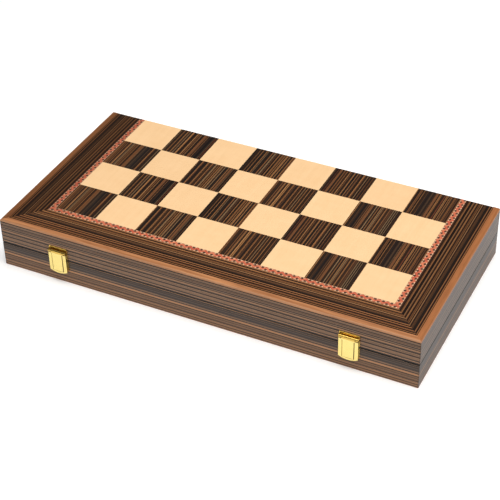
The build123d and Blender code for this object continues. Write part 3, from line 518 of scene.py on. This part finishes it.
def turned_wood(name, pale, deep, rough, coat):
    """Polished turned wood with its grain along the man."""
    k = Tree(name)
    ix = k.m("FLOOR", k.m("DIVIDE", k.m("ADD", k.x, 270.0), 27.0))
    where = k.vec(k.m("MULTIPLY_ADD", k.x, 0.22, k.m("MULTIPLY", ix, 7.3)),
                  k.m("MULTIPLY", k.y, 0.02), k.m("MULTIPLY", k.z, 0.22))
    figure = k.noise(where, 1.0, 5.0, 0.6)
    fibre = k.noise(k.stretch(k.pos, 3.0, 0.12, 3.0), 1.0, 2.0)
    colour = k.mix(k.ramp(figure, [(0.35, 0.0), (0.68, 1.0)]), deep, pale)
    colour = k.shade(colour, k.spread(fibre, 0.88, 1.10))
    edge = k.worn(0.5)
    colour = k.mix(k.m("MULTIPLY", edge, 0.25), colour,
                   tuple(min(1.0, c * 1.5 + 0.01) for c in pale[:3]) + (1.0,))
    k.bump(fibre, 0.02, 0.3)
    return k.finish(colour, k.spread(figure, rough, rough + 0.12), coat=coat, coat_rough=0.15)


def flock(name, colour_a, colour_b):
    k = Tree(name)
    nap = k.noise(k.stretch(k.pos, 2.2, 2.2, 2.2), 1.0, 2.0, 0.7)
    brushed = k.noise(k.stretch(k.pos, 0.03, 0.03, 0.03), 1.0, 3.0)
    colour = k.mix(nap, colour_a, colour_b)
    colour = k.shade(colour, k.spread(brushed, 0.8, 1.2))
    k.bump(nap, 0.25, 0.7)
    return k.finish(colour, k.spread(nap, 0.8, 0.95), sheen=0.5, sheen_rough=0.4)


# painted highlight colour for the front rail's rounded outer edge; the left and right rails get
# their own below
front_arris_highlight = srgb(160, 122, 92)
rail_mats = {
    "front": solid_wood("rail_wood_front", "x", srgb(186, 128, 84), srgb(146, 94, 58), True,
                        arris_highlight=front_arris_highlight),
    "rear": solid_wood("rail_wood_rear", "x", srgb(160, 104, 66), srgb(134, 84, 52), True),
    "left": solid_wood("rail_wood_left", "y", srgb(130, 82, 46), srgb(102, 62, 35), True,
                       arris_highlight=srgb(126, 82, 48)),
    "right": solid_wood("rail_wood_right", "y", srgb(164, 104, 60), srgb(138, 84, 48), True,
                        arris_highlight=srgb(168, 114, 74)),
}
metal = brass("brass")
for half, seed in (("base", 41.0), ("lid", 3.0)):
    for place, mat in rail_mats.items():
        wear([nodes[f"{half}_{place}_rail"]], mat)
    wear([nodes[f"{half}_panel_core"]], plywood(f"{half}_plywood"))
    wear([nodes[f"{half}_light_squares"]], pale_squares(f"{half}_pale_veneer", seed))
    wear([nodes[f"{half}_dark_squares"]], striped_squares(f"{half}_striped_veneer", seed))
    wear([nodes[f"{half}_border_veneer"]], striped_border(f"{half}_border_stripes", seed + 8))
    wear([nodes[f"{half}_rope_banding"]], rope_inlay(f"{half}_rope_inlay", seed))
    wear([nodes[f"{half}_outer_veneer"]], striped_sides(f"{half}_side_stripes", 12.0))
    wear([nodes[f"{half}_insert"]], flock(f"{half}_flock", srgb(58, 16, 20), srgb(92, 30, 34)))

wear([o for n, o in nodes.items() if n.startswith("hinge_") or "latch" in n], metal)
wear([nodes["left_latch_flap"]], brass("left_flap_brass", -168.4))
wear([nodes["right_latch_flap"]], brass("right_flap_brass", 166.6))
light_wood = turned_wood("boxwood", srgb(232, 188, 126), srgb(206, 154, 92), 0.26, 0.5)
dark_wood = turned_wood("stained_wood", srgb(58, 36, 26), srgb(28, 18, 14), 0.22, 0.6)
for n, o in nodes.items():
    if n.endswith("_felts"):
        wear([o], flock(n + "_wool", srgb(24, 62, 36), srgb(40, 84, 52)))
    elif n.startswith("light_"):
        wear([o], light_wood)
    elif n.startswith("dark_"):
        wear([o], dark_wood)

# ----------------------------------------------------------------- stage ----
me = bpy.data.meshes.new("floor")
r = 14.0
me.from_pydata([(-r, -r, 0), (r, -r, 0), (r, r, 0), (-r, r, 0)], [], [(0, 1, 2, 3)])
floor = bpy.data.objects.new("floor", me)
scene.collection.objects.link(floor)
k = Tree("floor")
grain = k.noise(k.stretch(k.pos, 0.004, 0.004, 0.004), 1.0, 2.0)
k.finish(k.shade(srgb(251, 251, 251), k.spread(grain, 0.99, 1.0)), 0.85, spec=0.1)
for node in k.mat.node_tree.nodes:
    if node.type == "BSDF_PRINCIPLED":
        node.inputs["Emission Color"].default_value = (1.0, 1.0, 1.0, 1.0)
        node.inputs["Emission Strength"].default_value = 0.11
floor.data.materials.append(k.mat)

world = bpy.data.worlds.new("studio")
scene.world = world
world.use_nodes = True
# a dim studio, palest low on the right
wt = world.node_tree
back = wt.nodes["Background"]
coord = wt.nodes.new("ShaderNodeTexCoord")
toward = wt.nodes.new("ShaderNodeVectorMath")
toward.operation = "DOT_PRODUCT"
toward.inputs[1].default_value = (0.80, -0.25, -0.55)
wt.links.new(coord.outputs["Generated"], toward.inputs[0])
dim = wt.nodes.new("ShaderNodeValToRGB")
dim.color_ramp.elements[0].position, dim.color_ramp.elements[0].color = 0.0, (0.14, 0.14, 0.14, 1)
dim.color_ramp.elements[1].position, dim.color_ramp.elements[1].color = 0.9, (1.0, 1.0, 1.0, 1)
wt.links.new(toward.outputs["Value"], dim.inputs[0])
wt.links.new(dim.outputs[0], back.inputs[0])
back.inputs[1].default_value = 0.70


def softbox(name, at, aim, size, watts, colour=(1.0, 1.0, 1.0)):
    data = bpy.data.lights.new(name, "AREA")
    data.shape = "RECTANGLE"
    data.size, data.size_y = size
    data.energy = watts
    data.color = colour
    o = bpy.data.objects.new(name, data)
    scene.collection.objects.link(o)
    o.location = at
    o.rotation_mode = "QUATERNION"
    o.rotation_quaternion = (Vector(aim) - Vector(at)).to_track_quat("-Z", "Y")
    return o


softbox("overhead", (0.30, -0.15, 1.9), (0.1, 0, 0), (2.0, 1.7), 50.0, (1.0, 0.985, 0.965))
softbox("front", (0.9, -2.4, 2.2), (0, -0.2, 0), (1.6, 1.2), 20.0)
